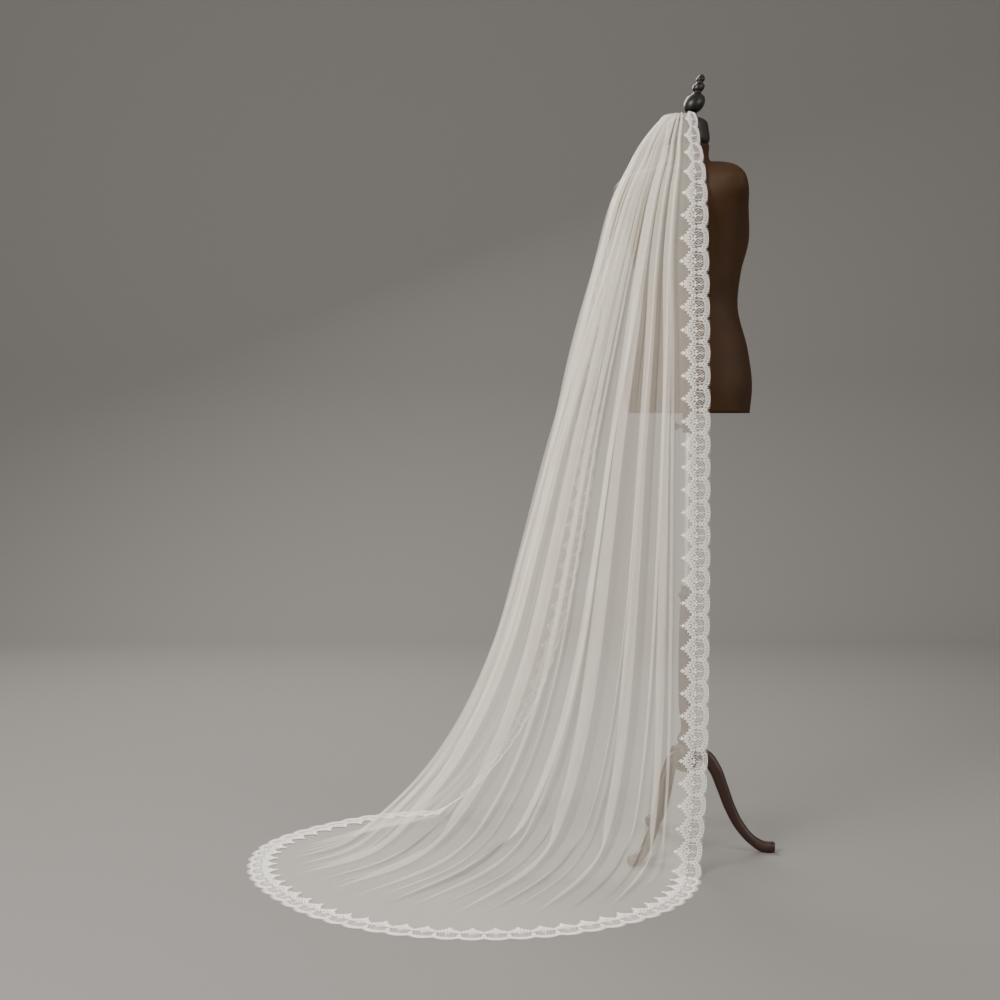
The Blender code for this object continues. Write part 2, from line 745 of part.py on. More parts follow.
def make_leg(name, angle):
    """A curved leg: rounded sections along its path, flat where its foot rests."""
    path = np.array([(row[0], row[1]) for row in LEG_PATH])
    ways = np.gradient(path, axis=0)
    ways[0] = (1.0, 0.0)
    ways[-1] = (1.0, 0.0)
    ways[-2] = (1.0, 0.0)
    ways /= np.linalg.norm(ways, axis=1)[:, None]
    turn = math.radians(angle)
    ahead = np.array([math.cos(turn), math.sin(turn), 0.0])
    across = np.array([-math.sin(turn), math.cos(turn), 0.0])
    rings = []
    for (reach, height), way, row in zip(path, ways, LEG_PATH):
        ring = []
        for index in range(8):
            corner = math.pi * (2 * index + 1) / 8
            up = row[2] * math.sin(corner) / math.cos(math.pi / 8)
            aside = row[3] * math.cos(corner) / math.cos(math.pi / 8)
            distance = reach - up * way[1]
            level = max(height + up * way[0], 0.0)
            ring.append(tuple(ahead * distance + across * aside + np.array([0.0, 0.0, level])))
        rings.append(ring)
    return lofted(name, rings, "brown_wood")


def stand_on_origin():
    """Moves every piece so that the origin lies under the middle of the object's box."""
    bpy.context.view_layer.update()
    graph = bpy.context.evaluated_depsgraph_get()
    corners = []
    for piece in PARTS.objects:
        shape = piece.evaluated_get(graph).to_mesh()
        corners += [piece.matrix_world @ vertex.co for vertex in shape.vertices]
    corners = np.array(corners)
    low = corners.min(0)
    high = corners.max(0)
    shift = (-(low[0] + high[0]) / 2, -(low[1] + high[1]) / 2, -low[2])
    for piece in PARTS.objects:
        piece.location = [here + move for here, move in zip(piece.location, shift)]


clear_scene()
PARTS = new_collection("bridal_veil_on_dress_form")
OUTLINE = outline_curve()
ROWS = level_rows()
INNER_PLACES = [
    SEAM_TRACK + index / (INNER_GUIDES + 1) * (CUT_WIDTH - 2 * SEAM_TRACK)
    for index in range(1, INNER_GUIDES + 1)
]
HEM_STOPS = [hem_distance(place) for place in INNER_PLACES]
TRACK_FLOOR = (
    list(CORNER_STEPS)
    + [CORNER_RUN]
    + HEM_STOPS
    + [HEM_LENGTH - CORNER_RUN]
    + [HEM_LENGTH - step for step in CORNER_STEPS[::-1]]
)
TRACK_KNOTS = lengths(edge_track(TULLE_EDGE))
ACROSS, NET = guide_net()
DOWN = row_knots(NET)
make_lace(make_tulle())
make_torso()
make_cap()
make_finial()
make_stand()
for leg_name, leg_angle in LEG_ANGLES.items():
    make_leg(leg_name, leg_angle)
stand_on_origin()
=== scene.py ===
"""Looks for a bridal veil of tulle with a scalloped lace border, on a dress form on a stand.

Metres, +Z up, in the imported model's frame. From top to bottom: camera, floor and light; the
surface that the veil follows; the tulle panel; the lace border; the torso; wood and metal.
"""
import math

import bmesh
import bpy
import numpy as np
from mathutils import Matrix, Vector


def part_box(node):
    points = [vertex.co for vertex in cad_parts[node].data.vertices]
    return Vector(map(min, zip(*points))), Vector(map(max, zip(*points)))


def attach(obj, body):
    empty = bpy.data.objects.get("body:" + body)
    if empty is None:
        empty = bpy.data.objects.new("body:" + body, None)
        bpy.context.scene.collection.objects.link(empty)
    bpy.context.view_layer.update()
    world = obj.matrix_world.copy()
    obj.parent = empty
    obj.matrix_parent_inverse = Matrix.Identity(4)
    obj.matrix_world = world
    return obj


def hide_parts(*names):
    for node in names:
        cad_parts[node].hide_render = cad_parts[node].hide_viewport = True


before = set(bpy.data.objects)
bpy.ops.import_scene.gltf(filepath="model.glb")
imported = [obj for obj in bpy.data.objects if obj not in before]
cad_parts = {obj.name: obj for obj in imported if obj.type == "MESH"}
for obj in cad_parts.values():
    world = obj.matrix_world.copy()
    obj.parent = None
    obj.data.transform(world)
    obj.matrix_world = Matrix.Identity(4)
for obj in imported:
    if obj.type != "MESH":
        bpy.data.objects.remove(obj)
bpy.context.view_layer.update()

bpy.ops.object.select_all(action="DESELECT")
bpy.context.scene.cycles.transparent_max_bounces = 24
bpy.context.scene.cycles.max_bounces = 5
bpy.context.scene.cycles.diffuse_bounces = 2

POLE_BOX = np.array(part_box("pole"))
STAND_AXIS = np.array([POLE_BOX[:, 0].mean(), POLE_BOX[:, 1].mean(), 0.0])


# Camera, floor and light: the camera stands in front and a little to the left of the form,
# a metre up, and looks slightly down. The floor and wall are one plain grey sweep, dark enough
# for the white net and lace to stand out.
def colour(code):
    """A material colour from an sRGB hex code."""
    channels = [int(code[place : place + 2], 16) / 255 for place in (0, 2, 4)]
    linear = [c / 12.92 if c <= 0.04045 else ((c + 0.055) / 1.055) ** 2.4 for c in channels]
    return (*linear, 1.0)


def add_node(tree, kind, **settings):
    node = tree.nodes.new(kind)
    for name, value in settings.items():
        if name in node.inputs:
            node.inputs[name].default_value = value
        else:
            setattr(node, name, value)
    return node


def new_material(name, base, roughness):
    made = bpy.data.materials.new(name)
    made.use_nodes = True
    shader = made.node_tree.nodes["Principled BSDF"]
    shader.inputs["Base Color"].default_value = colour(base)
    shader.inputs["Roughness"].default_value = roughness
    return made, made.node_tree, shader


def lay_texture(tree, kind, stretch=None, **settings):
    """A texture laid on the object in its own metres, drawn out where a stretch is given."""
    place = add_node(tree, "ShaderNodeTexCoord").outputs["Object"]
    if stretch:
        fit = add_node(tree, "ShaderNodeMapping")
        fit.inputs["Scale"].default_value = stretch
        tree.links.new(place, fit.inputs["Vector"])
        place = fit.outputs[0]
    texture = add_node(tree, kind, **settings)
    tree.links.new(place, texture.inputs["Vector"])
    return texture


def two_tones(tree, shader, texture, dark, light):
    """A base colour that wanders between two tones with a texture."""
    mix = add_node(tree, "ShaderNodeMix", data_type="RGBA")
    mix.inputs[6].default_value = colour(dark)
    mix.inputs[7].default_value = colour(light)
    tree.links.new(texture.outputs["Fac"], mix.inputs[0])
    tree.links.new(mix.outputs[2], shader.inputs["Base Color"])


def uneven_shine(tree, shader, texture, least, most):
    """Roughness that goes from least to most with a texture."""
    shine = add_node(tree, "ShaderNodeMapRange")
    shine.inputs["To Min"].default_value = least
    shine.inputs["To Max"].default_value = most
    tree.links.new(texture.outputs["Fac"], shine.inputs["Value"])
    tree.links.new(shine.outputs[0], shader.inputs["Roughness"])


def fine_relief(tree, shader, texture, strength, depth):
    """Bumps too small to model, of a strength and a depth in metres."""
    bump = add_node(tree, "ShaderNodeBump", Strength=strength, Distance=depth)
    tree.links.new(texture.outputs["Fac"], bump.inputs["Height"])
    tree.links.new(bump.outputs[0], shader.inputs["Normal"])


def add_object(name, points, faces, smooth=True):
    mesh = bpy.data.meshes.new(name)
    points = np.asarray(points, np.float32)
    faces = np.asarray(faces, np.int32)
    size = faces.shape[1]
    mesh.vertices.add(len(points))
    mesh.vertices.foreach_set("co", points.ravel())
    mesh.loops.add(faces.size)
    mesh.loops.foreach_set("vertex_index", faces.ravel())
    mesh.polygons.add(len(faces))
    mesh.polygons.foreach_set("loop_start", np.arange(0, faces.size, size, dtype=np.int32))
    mesh.update(calc_edges=True)
    mesh.validate()
    if smooth:
        mesh.shade_smooth()
    made = bpy.data.objects.new(name, mesh)
    bpy.context.scene.collection.objects.link(made)
    return made


CAMERA_FROM_AXIS = (-0.425, -3.5, 1.0)
CAMERA_PITCH = 3.23
CAMERA_LENS = 55.4
camera = bpy.data.objects.new("camera", bpy.data.cameras.new("camera"))
camera.location = STAND_AXIS + np.array(CAMERA_FROM_AXIS)
camera.rotation_euler = (math.radians(90 - CAMERA_PITCH), 0.0, 0.0)
camera.data.lens = CAMERA_LENS
camera.data.sensor_width = 36.0
bpy.context.scene.collection.objects.link(camera)
bpy.context.scene.camera = camera

FLOOR_REACH = 9.0
WALL_BACK = 4.5
WALL_HEIGHT = 7.0
BEND = 1.2
BELOW_SOLES = 0.0002
bend = np.linspace(0, math.pi / 2, 25)
profile = [(-FLOOR_REACH, 0.0)]
profile += [(WALL_BACK - BEND + BEND * math.sin(a), BEND - BEND * math.cos(a)) for a in bend]
profile += [(WALL_BACK, WALL_HEIGHT)]
sweep_points = [(x, y, z - BELOW_SOLES) for y, z in profile for x in (-FLOOR_REACH, FLOOR_REACH)]
sweep_faces = [(2 * k, 2 * k + 1, 2 * k + 3, 2 * k + 2) for k in range(len(profile) - 1)]
floor = add_object("floor", sweep_points, sweep_faces)
floor_material, floor_tree, floor_shader = new_material("floor", "898580", 0.85)
floor_noise = add_node(floor_tree, "ShaderNodeTexNoise", Scale=1.4, Detail=3.0)
two_tones(floor_tree, floor_shader, floor_noise, "6B6762", "706C67")
floor.data.materials.append(floor_material)


def area_light(name, place, target, size, power):
    lamp = bpy.data.lights.new(name, "AREA")
    lamp.shape = "DISK"
    lamp.size = size
    lamp.energy = power
    holder = bpy.data.objects.new(name, lamp)
    holder.location = place
    way = np.array(target, float) - np.array(place, float)
    flat = math.hypot(way[0], way[1])
    turn = math.atan2(way[1], way[0]) - math.pi / 2
    holder.rotation_euler = (math.atan2(flat, -way[2]), 0.0, turn)
    bpy.context.scene.collection.objects.link(holder)


area_light("key", (-2.6, -2.8, 3.0), (0.1, 0.1, 0.8), 2.2, 345)
area_light("fill", (3.0, -2.2, 2.2), (0.1, 0.0, 0.7), 2.5, 88)
area_light("back", (-1.0, 2.8, 3.2), (0.0, 0.2, 0.6), 2.5, 165)
world = bpy.context.scene.world or bpy.data.worlds.new("world")
bpy.context.scene.world = world
world.use_nodes = True
world.node_tree.nodes["Background"].inputs[0].default_value = colour("F2F1EF")
world.node_tree.nodes["Background"].inputs[1].default_value = 0.70


# The veil's own surface: a cut 1.5 m wide with rounded corners, gathered on the neck cap, that
# hangs past the form on one side and runs out in a train. It has the solid's cut, hanging
# sections and train, and every fold, lace motif and thread below is placed on it.
WALL = 0.001
GAP = 0.0003
CUT_WIDTH = 1.50
CORNER_RADIUS = 0.60
HEM_LENGTH = math.pi * CORNER_RADIUS + CUT_WIDTH - 2 * CORNER_RADIUS
LACE_REPEAT = 0.050
TULLE_EDGE = 0.036
SEAM_TRACK = 0.070
CAP_CENTRE = (-0.004, 0.0)
CAP_TOP_RADIUS = 0.019
CAP_TOP = 1.664
CAP_SHOULDER_RADIUS = 0.042
CAP_SHOULDER = 1.654
HEADING_NEAR_ANGLE = -78
HEADING_FAR_ANGLE = -192
HEADING_ARCS = (
    # radius, height (None rests on the cap), border scale
    (0.026, None, 0.30),
    (0.036, None, 0.33),
    (0.050, 1.6640, 0.38),
    (0.064, 1.6500, 0.42),
)
HANGING_SECTIONS = (
    # height, near x, near y, left x, left y, far x, far y, far heading in degrees, border scale
    (1.600, 0.012, -0.098, -0.108, -0.008, -0.104, 0.010, 75, 0.55),
    (1.540, 0.018, -0.133, -0.141, -0.022, -0.136, 0.000, 70, 0.70),
    (1.480, 0.021, -0.155, -0.169, -0.026, -0.162, 0.006, 65, 0.85),
    (1.350, 0.024, -0.166, -0.197, -0.020, -0.176, 0.045, 55, 1.0),
    (1.150, 0.028, -0.168, -0.247, -0.012, -0.184, 0.088, 45, 1.0),
    (0.920, 0.030, -0.170, -0.307, 0.000, -0.196, 0.122, 42, 1.0),
    (0.700, 0.031, -0.173, -0.363, 0.010, -0.226, 0.152, 45, 1.0),
    (0.450, 0.030, -0.178, -0.437, 0.018, -0.280, 0.192, 52, 1.0),
    (0.260, 0.028, -0.183, -0.528, 0.024, -0.352, 0.232, 62, 1.0),
    (0.120, 0.022, -0.190, -0.635, 0.028, -0.442, 0.276, 74, 1.0),
    (0.035, 0.014, -0.198, -0.735, 0.032, -0.528, 0.306, 86, 1.0),
)
TRAIN_MIDDLE = (-0.49, -0.155)
TRAIN_OUTLINE = (
    # angle in degrees, radius
    (-7, 0.502),
    (-35, 0.506),
    (-65, 0.489),
    (-95, 0.473),
    (-125, 0.462),
    (-150, 0.459),
    (-175, 0.484),
    (-200, 0.511),
    (-225, 0.503),
    (-245, 0.500),
    (-261, 0.482),
)
CORNER_RUN = 0.27
HEM_DRIFT = 0.27
CORNER_STEPS = (0.025, 0.08, 0.155)
FLOOR_STEPS = (0.16, 0.42, 0.71)
INNER_GUIDES = 59


def slopes(knots, values):
    """Tangents of a smooth curve through uneven knots."""
    step = np.diff(knots)
    shape = (-1,) + (1,) * (values.ndim - 1)
    rise = np.diff(values, axis=0) / step.reshape(shape)
    before = step[:-1].reshape(shape)
    after = step[1:].reshape(shape)
    inner = (rise[:-1] * after + rise[1:] * before) / (before + after)
    return np.concatenate([rise[:1], inner, rise[-1:]])


def smooth_through(knots, values, at):
    """The smooth curve through values at knots, read at other places."""
    knots = np.asarray(knots, float)
    values = np.asarray(values, float)
    at = np.clip(np.asarray(at, float), knots[0], knots[-1])
    tangents = slopes(knots, values)
    cell = np.clip(np.searchsorted(knots, at, side="right") - 1, 0, len(knots) - 2)
    width = knots[cell + 1] - knots[cell]
    shape = (-1,) + (1,) * (values.ndim - 1)
    t = ((at - knots[cell]) / width).reshape(shape)
    width = width.reshape(shape)
    return (
        (2 * t**3 - 3 * t**2 + 1) * values[cell]
        + (t**3 - 2 * t**2 + t) * width * tangents[cell]
        + (3 * t**2 - 2 * t**3) * values[cell + 1]
        + (t**3 - t**2) * width * tangents[cell + 1]
    )


def cap_height(radius):
    """Height of the neck cap's sloping top at a distance from its axis."""
    share = (radius - CAP_TOP_RADIUS) / (CAP_SHOULDER_RADIUS - CAP_TOP_RADIUS)
    return CAP_TOP + share * (CAP_SHOULDER - CAP_TOP)


def heading_curve(radius):
    angle = np.radians(np.linspace(HEADING_NEAR_ANGLE, HEADING_FAR_ANGLE, 121))
    x = CAP_CENTRE[0] + radius * np.cos(angle)
    y = CAP_CENTRE[1] + radius * np.sin(angle)
    return np.stack([x, y], 1)


def hanging_curve(near, left, far, far_heading):
    """A quarter ellipse from the near edge to the left side, then a bend to the far edge."""
    turn = np.linspace(0, math.pi / 2, 81)[:, None]
    near, left, far = (np.asarray(point, float) for point in (near, left, far))
    x = near[0] + (left[0] - near[0]) * np.sin(turn)
    y = left[1] + (near[1] - left[1]) * np.cos(turn)
    front = np.concatenate([x, y], 1)
    reach = np.linalg.norm(far - left)
    t = np.linspace(0, 1, 41)[1:, None]
    start = np.array([0.0, reach])
    end = reach * np.array([math.cos(far_heading), math.sin(far_heading)])
    back = (
        (2 * t**3 - 3 * t**2 + 1) * left
        + (t**3 - 2 * t**2 + t) * start
        + (3 * t**2 - 2 * t**3) * far
        + (t**3 - t**2) * end
    )
    return np.concatenate([front, back])


def lengths(curve):
    return np.concatenate([[0], np.cumsum(np.linalg.norm(np.diff(curve, axis=0), axis=1))])


def along(curve, distance):
    run = lengths(curve)
    return np.stack([np.interp(distance, run, column) for column in curve.T], -1)


def level_rows():
    """Every hanging row as its curve, its height and the scale of its borders."""
    rows = []
    for radius, height, scale in HEADING_ARCS:
        if height is None:
            height = cap_height(radius) + GAP + 0.55 * WALL
        rows.append((heading_curve(radius), height, scale))
    for height, near_x, near_y, left_x, left_y, far_x, far_y, heading, scale in HANGING_SECTIONS:
        ends = (near_x, near_y), (left_x, left_y), (far_x, far_y)
        curve = hanging_curve(*ends, math.radians(heading))
        rows.append((curve, height, scale))
    return rows


def outline_curve():
    table = np.array(TRAIN_OUTLINE, float)[::-1]
    angle = np.linspace(TRAIN_OUTLINE[0][0], TRAIN_OUTLINE[-1][0], 400)
    radius = smooth_through(table[:, 0], table[:, 1], angle)
    angle = np.radians(angle)
    x = TRAIN_MIDDLE[0] + radius * np.cos(angle)
    y = TRAIN_MIDDLE[1] + radius * np.sin(angle)
    return np.stack([x, y], 1)


def hem_point(distance, inset):
    """A point on the floor at a distance along the hem, set in from the outer edge."""
    run = lengths(OUTLINE)
    stretch = run[-1] / HEM_LENGTH
    here = along(OUTLINE, np.atleast_1d(distance) * stretch)
    reach = 0.004
    ahead = along(OUTLINE, np.atleast_1d(distance) * stretch + reach)
    behind = along(OUTLINE, np.atleast_1d(distance) * stretch - reach)
    way = ahead - behind
    way /= np.linalg.norm(way, axis=1)[:, None]
    inward = np.stack([way[:, 1], -way[:, 0]], 1)
    return here + inward * np.asarray(inset).reshape(-1, 1), way, inward


def level_point(row, inset, far_side):
    curve, height, scale = row
    whole = lengths(curve)[-1]
    distance = whole - inset * scale if far_side else inset * scale
    x, y = along(curve, distance)
    return np.array([x, y, height])


def floor_point(distance, inset):
    spot = hem_point(distance, inset)[0][0]
    return np.array([spot[0], spot[1], WALL / 2])


def edge_track(inset):
    """The veil's border from the near top, round the hem, to the far top, at one inset."""
    points = [level_point(row, inset, False) for row in ROWS]
    floor = np.array(TRACK_FLOOR)
    points += [floor_point(distance, inset) for distance in floor]
    points += [level_point(row, inset, True) for row in ROWS[::-1]]
    return np.array(points)


def track_points(inset, at):
    return smooth_through(TRACK_KNOTS, edge_track(inset), at)


def hem_distance(across):
    """How far along the hem a thread ends, drifted to the far side as the train sweeps round."""
    run = straight_hem_distance(across)
    share = (run - CORNER_RUN) / (HEM_LENGTH - 2 * CORNER_RUN)
    if 0 < share < 1:
        run += HEM_DRIFT * math.sin(math.pi * share) * run / HEM_LENGTH
    return run


def straight_hem_distance(across):
    """How far along the cut's hem a thread ends that starts at a place across the cut."""
    side = min(across, CUT_WIDTH - across)
    if side < CORNER_RADIUS:
        run = CORNER_RADIUS * math.acos((CORNER_RADIUS - side) / CORNER_RADIUS)
    else:
        run = CORNER_RADIUS * math.pi / 2 + side - CORNER_RADIUS
    return run if across <= CUT_WIDTH / 2 else HEM_LENGTH - run


def thread_turn(across):
    """Angle between the thread and the hem where the thread ends."""
    side = min(across, CUT_WIDTH - across)
    if side >= CORNER_RADIUS:
        return math.pi / 2
    return math.acos((CORNER_RADIUS - side) / CORNER_RADIUS)


def side_guide(inset, far_side):
    """A guide line that keeps its distance from a side edge and then from the hem's corner."""
    points = [level_point(row, inset, far_side) for row in ROWS]
    last_step = CORNER_RUN if inset == SEAM_TRACK else CORNER_RUN - SEAM_TRACK + TULLE_EDGE
    end = CORNER_RUN + SEAM_TRACK - TULLE_EDGE if inset == SEAM_TRACK else CORNER_RUN
    for distance in CORNER_STEPS + (last_step,):
        place = HEM_LENGTH - distance if far_side else distance
        points.append(floor_point(place, inset))
    place = HEM_LENGTH - end if far_side else end
    points.append(floor_point(place, TULLE_EDGE))
    return np.array(points)


def inner_guide(share, across):
    """A guide line that hangs, meets the floor and runs to the hem."""
    points = []
    for curve, height, scale in ROWS:
        whole = lengths(curve)[-1]
        first = SEAM_TRACK * scale
        x, y = along(curve, first + share * (whole - 2 * first))
        points.append((x, y, height))
    place = hem_distance(across)
    end, way, inward = hem_point(place, SEAM_TRACK)
    edge = hem_point(place, TULLE_EDGE)[0][0]
    turn = thread_turn(across)
    lengthwise = math.cos(turn) if across < CUT_WIDTH / 2 else -math.cos(turn)
    arrive = way[0] * lengthwise - inward[0] * math.sin(turn)
    start = np.array(points[-1][:2])
    end = end[0]
    reach = np.linalg.norm(end - start)
    leave = (end - start) * 0.8 + np.array(points[-1][:2]) - np.array(points[-2][:2])
    leave *= reach / np.linalg.norm(leave)
    for t in FLOOR_STEPS:
        spot = (
            (2 * t**3 - 3 * t**2 + 1) * start
            + (t**3 - 2 * t**2 + t) * leave
            + (3 * t**2 - 2 * t**3) * end
            + (t**3 - t**2) * arrive * reach
        )
        points.append((spot[0], spot[1], WALL / 2))
    points.append((end[0], end[1], WALL / 2))
    points.append((edge[0], edge[1], WALL / 2))
    return np.array(points)


def guide_net():
    """Guide lines across the cut and their places across it."""
    across = [TULLE_EDGE, SEAM_TRACK]
    net = [side_guide(TULLE_EDGE, False), side_guide(SEAM_TRACK, False)]
    for place in INNER_PLACES:
        share = (place - SEAM_TRACK) / (CUT_WIDTH - 2 * SEAM_TRACK)
        across.append(place)
        net.append(inner_guide(share, place))
    across += [CUT_WIDTH - SEAM_TRACK, CUT_WIDTH - TULLE_EDGE]
    net += [side_guide(SEAM_TRACK, True), side_guide(TULLE_EDGE, True)]
    return np.array(across), np.array(net)


def row_knots(net):
    steps = np.linalg.norm(np.diff(net, axis=1), axis=2)
    return np.concatenate([[0], np.cumsum(steps.mean(0))])


def base_surface(across, down):
    """The veil without its folds, at places across the cut and down the guide lines."""
    lines = smooth_through(ACROSS, NET, across)
    surface = np.swapaxes(smooth_through(DOWN, np.swapaxes(lines, 0, 1), down), 0, 1)
    surface[..., 2] = np.maximum(surface[..., 2], WALL / 2)
    return surface


def outward(across, down):
    """Unit vectors out of the surface and across it."""
    reach = 0.002
    sideways = base_surface(across + reach, down) - base_surface(across - reach, down)
    lengthways = base_surface(across, down + reach) - base_surface(across, down - reach)
    out = np.cross(sideways, lengthways)
    out /= np.maximum(np.linalg.norm(out, axis=2, keepdims=True), 1e-9)
    sideways /= np.maximum(np.linalg.norm(sideways, axis=2, keepdims=True), 1e-9)
    return out, sideways


OUTLINE = outline_curve()
ROWS = level_rows()
INNER_PLACES = [
    SEAM_TRACK + index / (INNER_GUIDES + 1) * (CUT_WIDTH - 2 * SEAM_TRACK)
    for index in range(1, INNER_GUIDES + 1)
]
HEM_STOPS = [hem_distance(place) for place in INNER_PLACES]
TRACK_FLOOR = (
    list(CORNER_STEPS)
    + [CORNER_RUN]
    + HEM_STOPS
    + [HEM_LENGTH - CORNER_RUN]
    + [HEM_LENGTH - step for step in CORNER_STEPS[::-1]]
)
TRACK_KNOTS = lengths(edge_track(TULLE_EDGE))
ACROSS, NET = guide_net()
DOWN = row_knots(NET)


# Tulle panel: one layer of soft net, gathered at the heading and hung over the
# neck cap, its border sewn under the lace. Large leaning folds, smaller pleats between them and
# fine gathers that fan out from the heading and die away are laid on the veil's surface.
COLUMNS = 460
LINES = 200
LOWEST = 0.0008
FOLDS = (
    # across the cut, half width, depth at shoulder, hip, knee, ankle and train, lean, wander
    (0.086, 0.009, 0.006, 0.008, 0.009, 0.008, 0.003, 1.26, 0.000),
    (0.112, 0.020, 0.010, 0.016, 0.020, 0.016, 0.006, 1.26, 0.003),
    (0.152, 0.014, 0.006, 0.009, 0.008, 0.006, 0.002, -0.5, 0.006),
    (0.198, 0.017, 0.007, 0.011, 0.010, 0.008, 0.004, -1.12, 0.008),
    (0.252, 0.024, 0.010, 0.015, 0.020, 0.017, 0.006, 1.54, 0.006),
    (0.300, 0.013, 0.006, 0.008, 0.007, 0.005, 0.002, 0.5, 0.008),
    (0.342, 0.016, 0.007, 0.010, 0.011, 0.010, 0.004, -0.7, 0.007),
    (0.402, 0.026, 0.010, 0.015, 0.021, 0.018, 0.006, 1.68, 0.006),
    (0.452, 0.013, 0.006, 0.007, 0.006, 0.005, 0.002, -0.5, 0.008),
    (0.497, 0.018, 0.008, 0.011, 0.012, 0.010, 0.004, 1.26, 0.009),
    (0.562, 0.026, 0.011, 0.016, 0.021, 0.019, 0.007, -1.4, 0.006),
    (0.612, 0.013, 0.006, 0.008, 0.007, 0.005, 0.002, 0.6, 0.007),
    (0.657, 0.017, 0.007, 0.011, 0.012, 0.010, 0.004, 1.12, 0.009),
    (0.722, 0.026, 0.011, 0.016, 0.020, 0.018, 0.007, 1.54, 0.006),
    (0.770, 0.013, 0.006, 0.007, 0.006, 0.004, 0.002, -0.4, 0.008),
    (0.815, 0.018, 0.008, 0.012, 0.012, 0.011, 0.004, -1.26, 0.008),
    (0.877, 0.025, 0.010, 0.015, 0.019, 0.018, 0.007, 1.4, 0.006),
    (0.925, 0.013, 0.006, 0.007, 0.007, 0.005, 0.002, 0.5, 0.007),
    (0.967, 0.017, 0.007, 0.011, 0.012, 0.011, 0.004, 1.12, 0.008),
    (1.032, 0.026, 0.010, 0.015, 0.018, 0.017, 0.006, -1.4, 0.006),
    (1.082, 0.013, 0.006, 0.008, 0.006, 0.004, 0.002, 0.5, 0.008),
    (1.125, 0.017, 0.007, 0.011, 0.011, 0.009, 0.003, -0.7, 0.008),
    (1.187, 0.024, 0.009, 0.014, 0.017, 0.015, 0.005, 1.4, 0.006),
    (1.238, 0.014, 0.006, 0.008, 0.007, 0.005, 0.002, 0.5, 0.007),
    (1.282, 0.017, 0.007, 0.010, 0.010, 0.007, 0.002, -0.7, 0.007),
    (1.340, 0.022, 0.008, 0.012, 0.014, 0.011, 0.004, 1.12, 0.005),
    (1.392, 0.018, 0.005, 0.008, 0.008, 0.006, 0.002, 0.5, 0.003),
)
GATHERS = 74
SOFTENING_PASSES = 70
BORDER_COLUMNS = 8


def fold_depths(depths, down):
    """A fold's depth down its length: nothing at the heading's end and at the hem."""
    knots = (0, DOWN[1], DOWN[2], DOWN[3], DOWN[4], DOWN[6], DOWN[9], DOWN[11], DOWN[13], DOWN[16])
    knots = knots + (DOWN[-2], DOWN[-1])
    values = (0.0, 0.0006, 0.0020, 0.0030, 0.0045, *depths[:4], depths[4] * 1.6 + 0.003, 0.0, 0.0)
    return smooth_through(knots, values, down)


def soften_landing(surface, down):
    """Eases the panel's bend where it comes down to the floor, away from its borders."""
    level = np.interp(down, (DOWN[10], DOWN[12], DOWN[16], DOWN[18]), (0, 1, 1, 0))
    column = np.minimum(np.arange(COLUMNS), np.arange(COLUMNS)[::-1])
    inside = np.clip((column - BORDER_COLUMNS) / 30, 0, 1)
    amount = 0.5 * level[None, :, None] * inside[:, None, None]
    for _ in range(SOFTENING_PASSES):
        middle = (surface[:, :-2] + surface[:, 2:]) / 2
        surface[:, 1:-1] += amount[:, 1:-1] * (middle - surface[:, 1:-1])
    return surface


